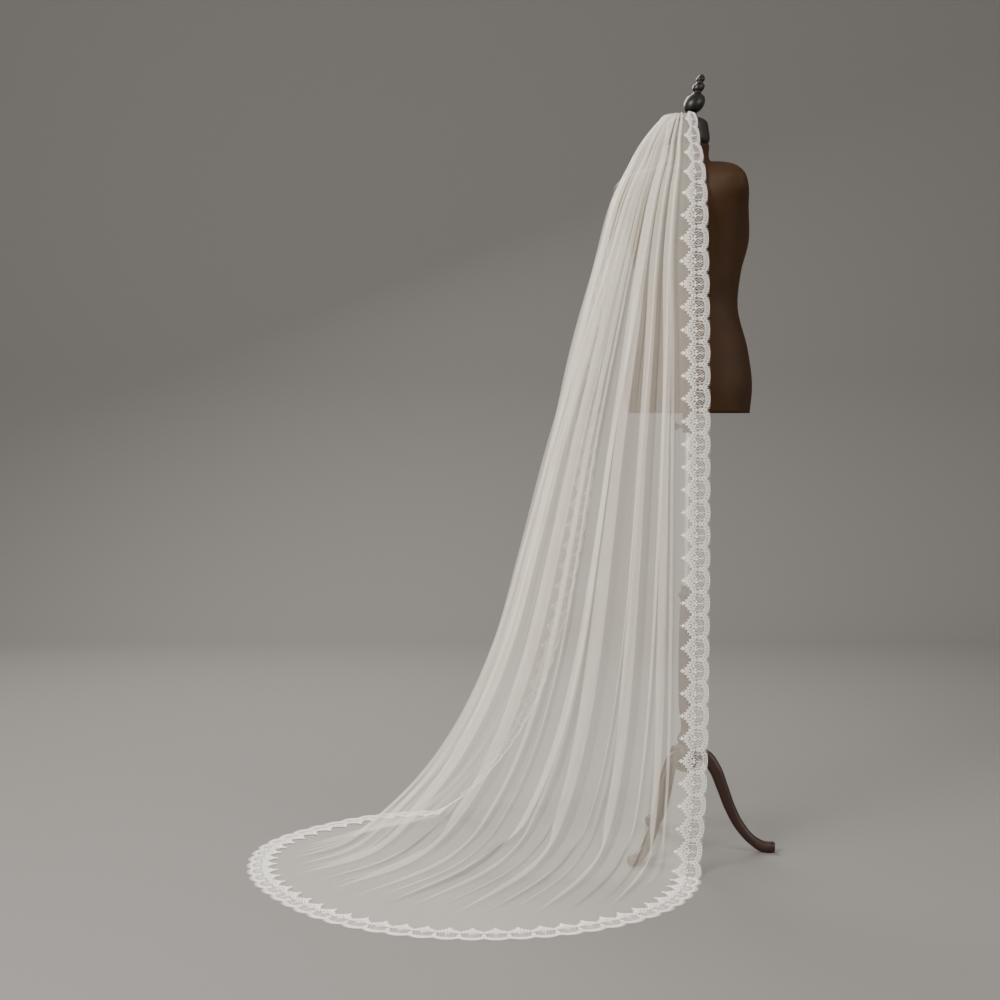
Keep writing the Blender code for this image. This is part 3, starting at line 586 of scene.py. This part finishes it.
def make_tulle():
    across = np.linspace(TULLE_EDGE, CUT_WIDTH - TULLE_EDGE, COLUMNS)
    down = np.linspace(0, DOWN[-1], LINES)
    surface = soften_landing(base_surface(across, down), down)
    out, sideways = outward(across, down)
    gap = np.linalg.norm(np.gradient(surface, axis=0), axis=2) / (across[1] - across[0])
    height = surface[..., 2]
    stand = np.clip((height - 0.004) / 0.10, 0.35, 1)
    bulge = np.zeros(surface.shape[:2])
    shear = np.zeros(surface.shape[:2])
    for index, (place, half, *depths, lean, wander) in enumerate(FOLDS):
        depth = np.clip(fold_depths(depths, down), 0, None)
        swing = wander * np.sin(down * (2.2 + 0.4 * (index % 3)) + 1.7 * index)
        narrow = np.interp(down, (0, DOWN[9], DOWN[14], DOWN[-1]), (1.0, 0.95, 0.50, 0.34))
        x = (across[:, None] - place - swing) / (half * narrow)
        near = np.abs(x) < 1
        rise = np.where(near, np.cos(np.clip(x, -1, 1) * math.pi / 2) ** 2, 0)
        bulge += rise * depth
        pinch = np.where(near, np.sin(np.clip(x, -1, 1) * math.pi), 0)
        shear += stand * (lean * rise * depth + 0.55 * pinch * half * narrow * gap)
    share = (across - TULLE_EDGE) / (CUT_WIDTH - 2 * TULLE_EDGE)
    uneven = 1.4 * np.sin(2 * math.pi * 5 * share) + np.sin(40 * share)
    phase = 2 * math.pi * GATHERS * share + uneven
    fine_knots = (0, DOWN[1], DOWN[3], DOWN[6], DOWN[8], DOWN[10], DOWN[12])
    fine = np.interp(down, fine_knots, (0.0008, 0.0014, 0.0028, 0.0036, 0.0030, 0.0016, 0.0))
    edge = np.clip(np.minimum(share, 1 - share) / 0.035, 0, 1)
    strength = 0.65 + 0.35 * np.sin(23 * share + 1.0)
    slant = 0.6 * np.sin(1.6 * down)[None, :]
    bulge += (0.5 + 0.5 * np.sin(phase[:, None] + slant)) ** 1.6 * fine * (edge * strength)[:, None]
    drift = np.sin(9.0 * share[:, None] + 2.1 * down) * np.sin(3.0 * down + 5.0 * share[:, None])
    settle_knots = (0, DOWN[6], DOWN[12], DOWN[15], DOWN[-2], DOWN[-1])
    settle = np.interp(down, settle_knots, (0, 0.002, 0.005, 0.003, 0.0, 0.0))
    bulge += 0.5 * (1 + drift) * settle * edge[:, None]
    surface = surface + bulge[..., None] * out + shear[..., None] * sideways
    surface[..., 2] = np.maximum(surface[..., 2], LOWEST)
    grid = np.arange(COLUMNS * LINES).reshape(COLUMNS, LINES)
    faces = np.stack([grid[:-1, :-1], grid[1:, :-1], grid[1:, 1:], grid[:-1, 1:]], 2).reshape(-1, 4)
    return add_object("veil_tulle", surface.reshape(-1, 3) + STAND_AXIS, faces)


tulle = make_tulle()
tulle_material, tulle_tree, tulle_shader = new_material("tulle", "F7EEE1", 0.75)
tulle_shader.inputs["Alpha"].default_value = 0.20
tulle_shader.inputs["Sheen Weight"].default_value = 0.8
tulle_shader.inputs["Sheen Roughness"].default_value = 0.35
# Soft patches about 70 mm wide keep the white from looking flat, and a ripple every 1.7 mm
# stands for the net's rows of holes.
tulle_tone = lay_texture(tulle_tree, "ShaderNodeTexNoise", Scale=14.0, Detail=1.0)
two_tones(tulle_tree, tulle_shader, tulle_tone, "F3E6D2", "FCF3E3")
tulle_net = lay_texture(tulle_tree, "ShaderNodeTexWave", Scale=190.0, Distortion=1.5, Detail=0.0)
fine_relief(tulle_tree, tulle_shader, tulle_net, 0.25, 0.0003)
tulle.data.materials.append(tulle_material)
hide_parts("tulle_panel")
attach(tulle, "root")


# Lace border: corded lace on a net ground, 64 mm wide with a scallop every 50 mm, sewn
# over the tulle's edge in three lengths. One repeat is drawn in millimetres, along the border
# and in from its outer edge, as raised cords, eyelets, petals and leaves, and set along the edge.
REPEAT = 50.0
SCALLOP = 12.0
RECESS = 43.0


def scallop_edge(u):
    """The outer edge's inset: nothing at the scallop's crest, deepest at its ends."""
    return SCALLOP * (1 - np.abs(np.sin(math.pi * u / REPEAT)) ** 0.65)


def point_edge(u):
    """The inner edge's inset: a rounded point in the middle of the repeat."""
    share = 0.5 - 0.5 * np.cos(2 * math.pi * u / REPEAT)
    return RECESS - 4.0 + 14.0 * share


class Motif:
    """Points (along, in, height) in millimetres and triangles of one repeat of the lace."""

    def __init__(self):
        self.points = []
        self.faces = []

    def cord(self, path, width, height=0.7, closed=False):
        """A rounded thread along a path: low at both sides and raised along its middle."""
        path = np.asarray(path, float)
        way = np.gradient(path, axis=0)
        if closed:
            way = np.roll(path, -1, 0) - np.roll(path, 1, 0)
        way /= np.maximum(np.linalg.norm(way, axis=1)[:, None], 1e-9)
        side = np.stack([-way[:, 1], way[:, 0]], 1) * width / 2
        start = len(self.points)
        for spot, off in zip(path, side):
            self.points += [(*(spot - off), 0.1), (*spot, height), (*(spot + off), 0.1)]
        count = len(path)
        for step in range(count if closed else count - 1):
            a = start + 3 * step
            b = start + 3 * ((step + 1) % count)
            for k in (0, 1):
                self.faces += [(a + k, b + k, b + k + 1), (a + k, b + k + 1, a + k + 1)]

    def ring(self, centre, radius, width, sides=9, height=0.7):
        turn = 2 * math.pi * np.arange(sides) / sides
        path = np.stack([centre[0] + radius * np.cos(turn), centre[1] + radius * np.sin(turn)], 1)
        self.cord(path, width, height, closed=True)

    def leaf(self, base, tip, width, bend=0.0, height=1.1):
        """A pointed or rounded leaf from its base to its tip, domed along its vein."""
        base, tip = np.array(base, float), np.array(tip, float)
        way = tip - base
        side = np.array([-way[1], way[0]]) / np.linalg.norm(way)
        start = len(self.points)
        steps = 6
        for step in range(steps + 1):
            t = step / steps
            spine = base + way * t + side * bend * math.sin(math.pi * t)
            half = side * width / 2 * math.sin(math.pi * min(t * 0.94 + 0.04, 1.0)) ** 0.7
            lift = 0.35 + height * math.sin(math.pi * t) ** 0.6
            self.points += [(*(spine - half), 0.2), (*spine, lift), (*(spine + half), 0.2)]
        for step in range(steps):
            a = start + 3 * step
            for k in (0, 1):
                self.faces += [(a + k, a + k + 3, a + k + 4), (a + k, a + k + 4, a + k + 1)]


RING_FLOWERS = (
    # from the middle of the repeat, inset, radius, width of the thread
    (0.0, 50.6, 2.9, 1.9),
    (6.6, 46.4, 2.5, 1.7),
    (12.8, 42.2, 2.3, 1.5),
    (18.8, 38.6, 2.1, 1.4),
    (24.2, 36.4, 1.7, 1.2),
    (0.0, 43.6, 1.9, 1.3),
    (6.6, 39.6, 1.8, 1.2),
    (13.0, 35.6, 1.6, 1.1),
    (3.0, 36.0, 1.5, 1.0),
    (18.6, 32.6, 1.5, 1.0),
)
THREADS = (
    # both ends of a thin thread across the gap, from the middle of the repeat and inset
    (0.0, 14.0, 12.0, 30.0),
    (0.0, 21.0, 8.0, 33.0),
    (5.0, 14.0, 13.5, 25.0),
    (11.5, 14.0, 1.0, 31.0),
    (14.0, 18.5, 5.0, 33.0),
    (6.0, 13.5, 0.0, 24.0),
)
LEAVES = (
    # base from the middle of the repeat, base inset, tip from the middle, tip inset, width
    (0.0, 54.2, 0.0, 63.6, 3.0),
    (1.0, 54.6, 4.6, 59.6, 2.4),
    (4.6, 49.8, 8.4, 54.0, 2.4),
    (11.0, 45.4, 15.0, 48.6, 2.2),
    (17.0, 41.8, 21.4, 44.2, 2.0),
    (1.2, 32.8, 5.6, 27.4, 2.6),
    (9.6, 37.2, 9.4, 30.2, 2.4),
    (22.6, 33.6, 23.6, 27.4, 2.4),
)


def scallop_path(inset, count=17):
    u = np.linspace(0, REPEAT, count)
    return np.stack([u, scallop_edge(u) * (1 - inset / 40) + inset], 1)


def draw_repeat():
    """One repeat: corded scallop band with eyelets and picots, then a net with a bud and
    stems, and ring flowers that climb to a small bud on the inner point."""
    motif = Motif()
    motif.cord(scallop_path(0.5, 21), 1.1, 1.0)
    motif.cord(scallop_path(8.4), 0.9, 0.9)
    motif.cord(scallop_path(10.6), 0.7, 0.7)
    for share in np.linspace(0.06, 0.94, 8):
        u = REPEAT * share
        motif.ring((u, scallop_edge(u) * 0.87 + 4.6), 2.0, 0.9, 8, 0.9)
    for share in np.linspace(0.03, 0.97, 14):
        u = REPEAT * share
        v = float(scallop_edge(u))
        lean = 1.3 * math.cos(math.pi * share)
        motif.cord([(u, v + 0.4), (u - lean * 0.5, v - 2.0), (u - lean, v - 4.8)], 0.7, 0.4)
    for x, v, radius, width in RING_FLOWERS:
        for flip in ((1, -1) if x else (1,)):
            motif.ring((REPEAT / 2 + flip * x, v), radius, width, 9, 1.2)
    for x, v, end_x, end_v, width in LEAVES:
        for flip in ((1, -1) if x or end_x else (1,)):
            base = (REPEAT / 2 + flip * x, v)
            motif.leaf(base, (REPEAT / 2 + flip * end_x, end_v), width, 0.0, 0.9)
    turn = np.linspace(0, 1, 9)
    for flip in (1, -1):
        u = REPEAT / 2 + flip * (13.5 + 2.6 * np.sin(math.pi * turn))
        motif.cord(np.stack([u, 13.0 + 21.0 * turn], 1), 0.9, 0.7)
        for x, v, end_x, end_v in THREADS:
            ends = [(REPEAT / 2 + flip * x, v), (REPEAT / 2 + flip * end_x, end_v)]
            motif.cord(ends, 0.5, 0.4)
    motif.cord([(REPEAT / 2, 12.0), (REPEAT / 2 + 1.2, 26.0), (REPEAT / 2, 40.0)], 0.9, 0.7)
    for petal in range(5):
        turn = 2 * math.pi * (petal + 0.25) / 5
        centre = np.array([0.0, 21.0]) + 3.6 * np.array([math.cos(turn), math.sin(turn)])
        motif.ring(centre, 1.7, 1.0, 7, 1.0)
    return np.array(motif.points), np.array(motif.faces)


def draw_ground(columns=24, rows=15):
    """The net between the scallop edge and the points, with the see-through gaps left out."""
    u = np.linspace(0, REPEAT, columns + 1)
    share = np.linspace(0, 1, rows + 1)
    low = scallop_edge(u)[:, None]
    high = point_edge(u)[:, None]
    inset = low + (high - low) * share
    points = np.stack([np.repeat(u[:, None], rows + 1, 1), inset, np.zeros(inset.shape)], 2)
    grid = np.arange(points.shape[0] * points.shape[1]).reshape(columns + 1, rows + 1)
    faces = []
    for column in range(columns):
        for row in range(rows):
            middle = points[column : column + 2, row : row + 2].reshape(-1, 3).mean(0)
            aside = abs(middle[0] - REPEAT / 2)
            large_gap = ((aside - 7.2) / 6.2) ** 2 + ((middle[1] - 23.5) / 10.0) ** 2 < 1
            if large_gap:
                continue
            a, b = grid[column, row], grid[column + 1, row]
            faces += [(a, b, b + 1), (a, b + 1, a + 1)]
    return points.reshape(-1, 3), np.array(faces)


def border_map():
    """The veil's border as a fine grid: its places, insets, points and outward directions."""
    at = np.linspace(0, TRACK_KNOTS[-1], 4200)
    insets = np.linspace(-0.004, SEAM_TRACK, 20)
    grid = np.stack([track_points(inset, at) for inset in insets], 1)
    grid[..., 2] = np.maximum(grid[..., 2], LOWEST)
    run = lengths(track_points(0.0, at))
    along_way = np.gradient(grid, axis=0)
    in_way = np.gradient(grid, axis=1)
    out = np.cross(in_way, along_way)
    out /= np.maximum(np.linalg.norm(out, axis=2, keepdims=True), 1e-9)
    return at, insets, grid, out, run


BORDER = border_map()
OUTER_LIFT = 0.0004
TULLE_LIFT = 0.0018
LIFT_START = 0.014
LIFT_REACH = 0.017


def set_along(points, distance, scale):
    """Points of a repeat, set on the veil's border at a distance along it, over the tulle."""
    at, insets, grid, out, run = BORDER
    s = np.clip(distance + points[:, 0] * scale, run[0], run[-1])
    row = np.interp(s, run, np.arange(len(run)))
    inset = points[:, 1] / 1000
    column = (inset - insets[0]) / (insets[1] - insets[0])
    column = np.clip(column, 0, len(insets) - 1.001)
    r0 = np.clip(row.astype(int), 0, len(run) - 2)
    c0 = column.astype(int)
    r, c = (row - r0)[:, None], (column - c0)[:, None]

    def read(table):
        return (1 - r) * ((1 - c) * table[r0, c0] + c * table[r0, c0 + 1]) + r * (
            (1 - c) * table[r0 + 1, c0] + c * table[r0 + 1, c0 + 1]
        )

    lift = OUTER_LIFT + TULLE_LIFT * np.clip((inset - LIFT_START) / LIFT_REACH, 0, 1)
    spread = read(grid) + read(out) * (lift + points[:, 2] / 1000)[:, None]
    spread[:, 2] = np.maximum(spread[:, 2], LOWEST)
    return spread


def make_border(name, node, first, last):
    run = BORDER[4]
    start = float(np.interp(first, BORDER[0], run))
    end = float(np.interp(last, BORDER[0], run))
    repeats = round((end - start) / LACE_REPEAT)
    pitch = (end - start) / repeats
    scale = pitch / REPEAT
    layers = ((*draw_ground(), 0), (*draw_repeat(), 1))
    points, faces, kinds = [], [], []
    count = 0
    for index in range(repeats):
        for shape, ends, kind in layers:
            points.append(set_along(shape, start + index * pitch, scale))
            faces.append(ends + count)
            kinds.append(np.full(len(ends), kind))
            count += len(shape)
    border = add_object(name, np.concatenate(points) + STAND_AXIS, np.concatenate(faces))
    border.data.materials.append(net_material)
    border.data.materials.append(thread_material)
    border.data.polygons.foreach_set("material_index", np.concatenate(kinds).astype(np.int32))
    border.data.update()
    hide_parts(node)
    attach(border, "root")
    return border


def lace_material(name, dark, light, bump, alpha=1.0):
    """Matt white thread: tones about 17 mm wide, and the twist of the yarn every 0.8 mm."""
    made, tree, shader = new_material(name, light, 0.62)
    shader.inputs["Alpha"].default_value = alpha
    shader.inputs["Sheen Weight"].default_value = 0.25
    tone = lay_texture(tree, "ShaderNodeTexNoise", Scale=60.0, Detail=5.0)
    two_tones(tree, shader, tone, dark, light)
    twist = lay_texture(tree, "ShaderNodeTexWave", Scale=420.0, Distortion=2.5, Detail=2.0)
    fine_relief(tree, shader, twist, bump, 0.0004)
    return made


net_material = lace_material("lace_net", "EADFD1", "F4EADD", 0.3, 0.15)
thread_material = lace_material("lace_thread", "F2E7DA", "FCF5EA", 0.6)
near_join = TRACK_KNOTS[len(ROWS) - 2]
far_join = TRACK_KNOTS[-(len(ROWS) - 1)]
near_lace = make_border("veil_lace_near_side", "lace_near_side", TRACK_KNOTS[2], near_join)
hem_lace = make_border("veil_lace_hem", "lace_hem", near_join, far_join)
far_lace = make_border("veil_lace_far_side", "lace_far_side", far_join, TRACK_KNOTS[-3])


# Torso: a smooth padded form under a stretched plain brown cover with long panel seams,
# flat at the bottom, and fixed to the pole by the collar.
FACING = math.radians(48)
CAP_RADIUS = 0.047
CAP_BOTTOM = 1.600
TORSO_RINGS = (
    # height, half width, front depth, back depth, set back from the stand's axis
    (1.000, 0.150, 0.113, 0.113, 0.000),
    (1.060, 0.155, 0.117, 0.119, 0.000),
    (1.140, 0.144, 0.110, 0.108, 0.000),
    (1.240, 0.119, 0.095, 0.088, 0.002),
    (1.310, 0.127, 0.108, 0.088, 0.008),
    (1.390, 0.144, 0.140, 0.090, 0.014),
    (1.450, 0.159, 0.118, 0.086, 0.026),
    (1.495, 0.176, 0.080, 0.064, 0.038),
    (1.520, 0.173, 0.054, 0.050, 0.042),
    (1.536, 0.154, 0.046, 0.044, 0.040),
    (1.548, 0.120, 0.044, 0.044, 0.028),
    (1.558, 0.064, 0.050, 0.050, 0.016),
    (1.572, 0.049, 0.049, 0.049, 0.008),
    (CAP_BOTTOM - GAP, 0.047, 0.047, 0.047, 0.003),
)


def rings_object(name, rings, caps=True):
    """A closed shape through rings of equal point count."""
    rings = np.asarray(rings, float)
    levels, count = rings.shape[:2]
    grid = np.arange(levels * count).reshape(levels, count)
    turned = np.roll(grid, -1, 1)
    quads = np.stack([grid[:-1], turned[:-1], turned[1:], grid[1:]], 2).reshape(-1, 4)
    made = add_object(name, rings.reshape(-1, 3), quads)
    if caps:
        work = bmesh.new()
        work.from_mesh(made.data)
        work.verts.ensure_lookup_table()
        work.faces.new([work.verts[index] for index in grid[0][::-1]])
        work.faces.new([work.verts[index] for index in grid[-1]])
        work.to_mesh(made.data)
        work.free()
        made.data.shade_smooth()
    return made


def torso_rings():
    table = np.array(TORSO_RINGS, float)
    knots = lengths(table[:, :3])
    levels = smooth_through(knots, table, np.linspace(0, knots[-1], 110))
    turn = 2 * math.pi * np.arange(144) / 144
    front = np.array([math.cos(FACING), math.sin(FACING)])
    side = np.array([math.sin(FACING), -math.cos(FACING)])
    rings = []
    for height, half_width, front_depth, back_depth, set_back in levels:
        depth = np.where(np.cos(turn) > 0, front_depth, back_depth) * np.cos(turn) - set_back
        seam = np.zeros(len(turn))
        for place in (0.0, 0.22, 0.5, 0.78):
            apart = np.abs((turn / (2 * math.pi) - place + 0.5) % 1 - 0.5)
            seam += np.exp(-((apart / 0.004) ** 2))
        shrink = 1 - 0.010 * seam
        width = half_width * np.sin(turn)
        spot = front * (depth * shrink)[:, None] - side * (width * shrink)[:, None]
        rings.append(np.concatenate([spot, np.full((len(turn), 1), height)], 1) + STAND_AXIS)
    return rings


torso = rings_object("form_torso", torso_rings())
torso_material, torso_tree, torso_shader = new_material("torso_cover", "241408", 0.60)
# The cover's brown drifts over about 110 mm, and its weave is a grain of about 1 mm.
torso_tone = lay_texture(torso_tree, "ShaderNodeTexNoise", Scale=9.0, Detail=8.0, Roughness=0.65)
two_tones(torso_tree, torso_shader, torso_tone, "1E1006", "38230F")
torso_weave = lay_texture(torso_tree, "ShaderNodeTexNoise", Scale=900.0, Detail=2.0)
fine_relief(torso_tree, torso_shader, torso_weave, 0.35, 0.0006)
torso_shader.inputs["Specular IOR Level"].default_value = 0.12
torso.data.materials.append(torso_material)
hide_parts("torso")
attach(torso, "root")


# Wood and metal: the neck cap, the leaning finial screwed into it, the turned post and its three
# curved legs are polished wood. The pole is dull steel, and its collar and thumbscrew, which
# clamp the torso's height, are painted iron.
FINIAL_BASE = (0.004, 0.003, CAP_TOP + GAP)
FINIAL_LEAN = (0.26, 0.10)
FINIAL_PROFILE = (
    # radius, height above the cap
    (0.0135, 0.000),
    (0.0105, 0.008),
    (0.0180, 0.016),
    (0.0230, 0.033),
    (0.0190, 0.046),
    (0.0090, 0.056),
    (0.0130, 0.064),
    (0.0135, 0.071),
    (0.0075, 0.078),
    (0.0100, 0.086),
    (0.0045, 0.096),
)
POLE_BOTTOM = 0.607
HUB_RADIUS = 0.0215
POST_PROFILE = (
    # radius, height
    (0.0100, 0.1780),
    (HUB_RADIUS, 0.1850),
    (HUB_RADIUS, 0.2350),
    (0.0150, 0.2430),
    (0.0185, 0.2540),
    (0.0130, 0.2640),
    (0.0150, 0.3300),
    (0.0160, 0.4400),
    (0.0135, 0.5500),
    (0.0125, 0.5750),
    (0.0165, 0.5820),
    (0.0165, 0.5900),
    (0.0120, 0.5960),
    (0.0115, POLE_BOTTOM - GAP),
)
LEG_ANGLES = {"leg_right": -12, "leg_back": 108, "leg_near": 228}
LEG_PATH = (
    # distance from the axis, height of its middle, half thickness, half width
    (HUB_RADIUS + GAP, 0.2130, 0.0150, 0.0110),
    (0.0450, 0.2150, 0.0150, 0.0110),
    (0.0680, 0.1880, 0.0145, 0.0110),
    (0.0860, 0.1450, 0.0135, 0.0105),
    (0.1040, 0.0980, 0.0125, 0.0100),
    (0.1270, 0.0560, 0.0115, 0.0100),
    (0.1560, 0.0250, 0.0110, 0.0105),
    (0.1800, 0.0125, 0.0125, 0.0115),
    (0.2060, 0.0125, 0.0125, 0.0115),
)


def wood(name, dark, light, roughness, stretch):
    """Polished wood: its grain, 40 mm wide and drawn out along the piece, also varies its shine."""
    made, tree, shader = new_material(name, light, roughness)
    shader.inputs["Specular IOR Level"].default_value = 0.25
    shader.inputs["Coat Weight"].default_value = 0.05
    shader.inputs["Coat Roughness"].default_value = 0.25
    look = {"Scale": 26.0, "Detail": 9.0, "Roughness": 0.7, "Distortion": 0.6}
    grain = lay_texture(tree, "ShaderNodeTexNoise", stretch, **look)
    two_tones(tree, shader, grain, dark, light)
    uneven_shine(tree, shader, grain, roughness - 0.08, roughness + 0.12)
    fine_relief(tree, shader, grain, 0.12, 0.0008)
    return made


def dress(piece, finish, node):
    piece.data.materials.append(finish)
    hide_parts(node)
    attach(piece, "root")


def round_rings(profile, centre, lean=(0.0, 0.0), sides=48, rings=90):
    """Fine turned rings through a profile of radius and height."""
    profile = np.asarray(profile, float)
    knots = lengths(profile)
    fine = smooth_through(knots, profile, np.linspace(0, knots[-1], rings))
    turn = 2 * math.pi * np.arange(sides) / sides
    made = []
    for radius, height in fine:
        ring = np.stack([radius * np.cos(turn), radius * np.sin(turn), np.zeros(sides)], 1)
        rise = np.array([lean[0] * height, lean[1] * height, height])
        made.append(ring + np.array(centre) + rise)
    return made


dark_wood = wood("dark_wood", "0B0806", "19130E", 0.40, (1.0, 1.0, 0.35))
brown_wood = wood("brown_wood", "1C110D", "38241A", 0.42, (1.0, 1.0, 0.18))
finial_centre = STAND_AXIS + np.array(FINIAL_BASE)
finial = rings_object("form_finial", round_rings(FINIAL_PROFILE, finial_centre, FINIAL_LEAN))
dress(finial, dark_wood, "finial")
cap_profile = (
    (CAP_RADIUS - 0.003, CAP_BOTTOM),
    (CAP_RADIUS, CAP_BOTTOM + 0.004),
    (CAP_RADIUS, 1.640),
    (CAP_RADIUS - 0.0015, 1.649),
    (CAP_SHOULDER_RADIUS, CAP_SHOULDER),
    (CAP_TOP_RADIUS, CAP_TOP),
)
cap_centre = STAND_AXIS + np.array([*CAP_CENTRE, 0.0])
cap = rings_object("form_neck_cap", round_rings(cap_profile, cap_centre))
dress(cap, dark_wood, "neck_cap")
post = rings_object("form_post", round_rings(POST_PROFILE, STAND_AXIS, rings=160))
dress(post, brown_wood, "post")


def leg_rings(angle):
    """A curved leg: rounded sections along a smooth path, flat where its foot rests."""
    table = np.array(LEG_PATH, float)
    knots = lengths(table[:, :2])
    rows = smooth_through(knots, table, np.linspace(0, knots[-1], 60))
    ways = np.gradient(rows[:, :2], axis=0)
    ways[0] = (1.0, 0.0)
    ways[rows[:, 0] > 0.178] = (1.0, 0.0)
    ways /= np.linalg.norm(ways, axis=1)[:, None]
    turn = math.radians(angle)
    ahead = np.array([math.cos(turn), math.sin(turn), 0.0])
    across = np.array([-math.sin(turn), math.cos(turn), 0.0])
    rings = []
    for (reach, height, thick, wide), way in zip(rows, ways):
        end = min(1.0, 0.75 + (0.206 - reach) / 0.02)
        ring = []
        for corner in 2 * math.pi * np.arange(24) / 24:
            up = thick * end * math.copysign(abs(math.sin(corner)) ** 0.8, math.sin(corner))
            aside = wide * end * math.copysign(abs(math.cos(corner)) ** 0.8, math.cos(corner))
            level = max(height + up * way[0], 0.0)
            spot = STAND_AXIS + ahead * (reach - up * way[1]) + across * aside
            ring.append(spot + np.array([0, 0, level]))
        rings.append(ring)
    return rings


for leg_name, leg_angle in LEG_ANGLES.items():
    leg = rings_object("form_" + leg_name, leg_rings(leg_angle))
    dress(leg, brown_wood, leg_name)


def metal(name, dark, light, roughness, metallic):
    """Worn metal: tone and shine change in patches about 20 mm wide, as handling leaves them."""
    made, tree, shader = new_material(name, light, roughness)
    shader.inputs["Metallic"].default_value = metallic
    wear = lay_texture(tree, "ShaderNodeTexNoise", Scale=45.0, Detail=7.0, Roughness=0.7)
    two_tones(tree, shader, wear, dark, light)
    uneven_shine(tree, shader, wear, roughness - 0.1, roughness + 0.15)
    return made


steel = metal("steel", "C4C2BD", "E6E4E0", 0.30, 1.0)
iron = metal("painted_iron", "232A27", "39423D", 0.45, 0.4)
for node, finish in (("pole", steel), ("collar", iron), ("thumbscrew", iron)):
    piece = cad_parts[node]
    if not piece.material_slots:
        piece.data.materials.append(finish)
    for slot in piece.material_slots:
        slot.material = finish
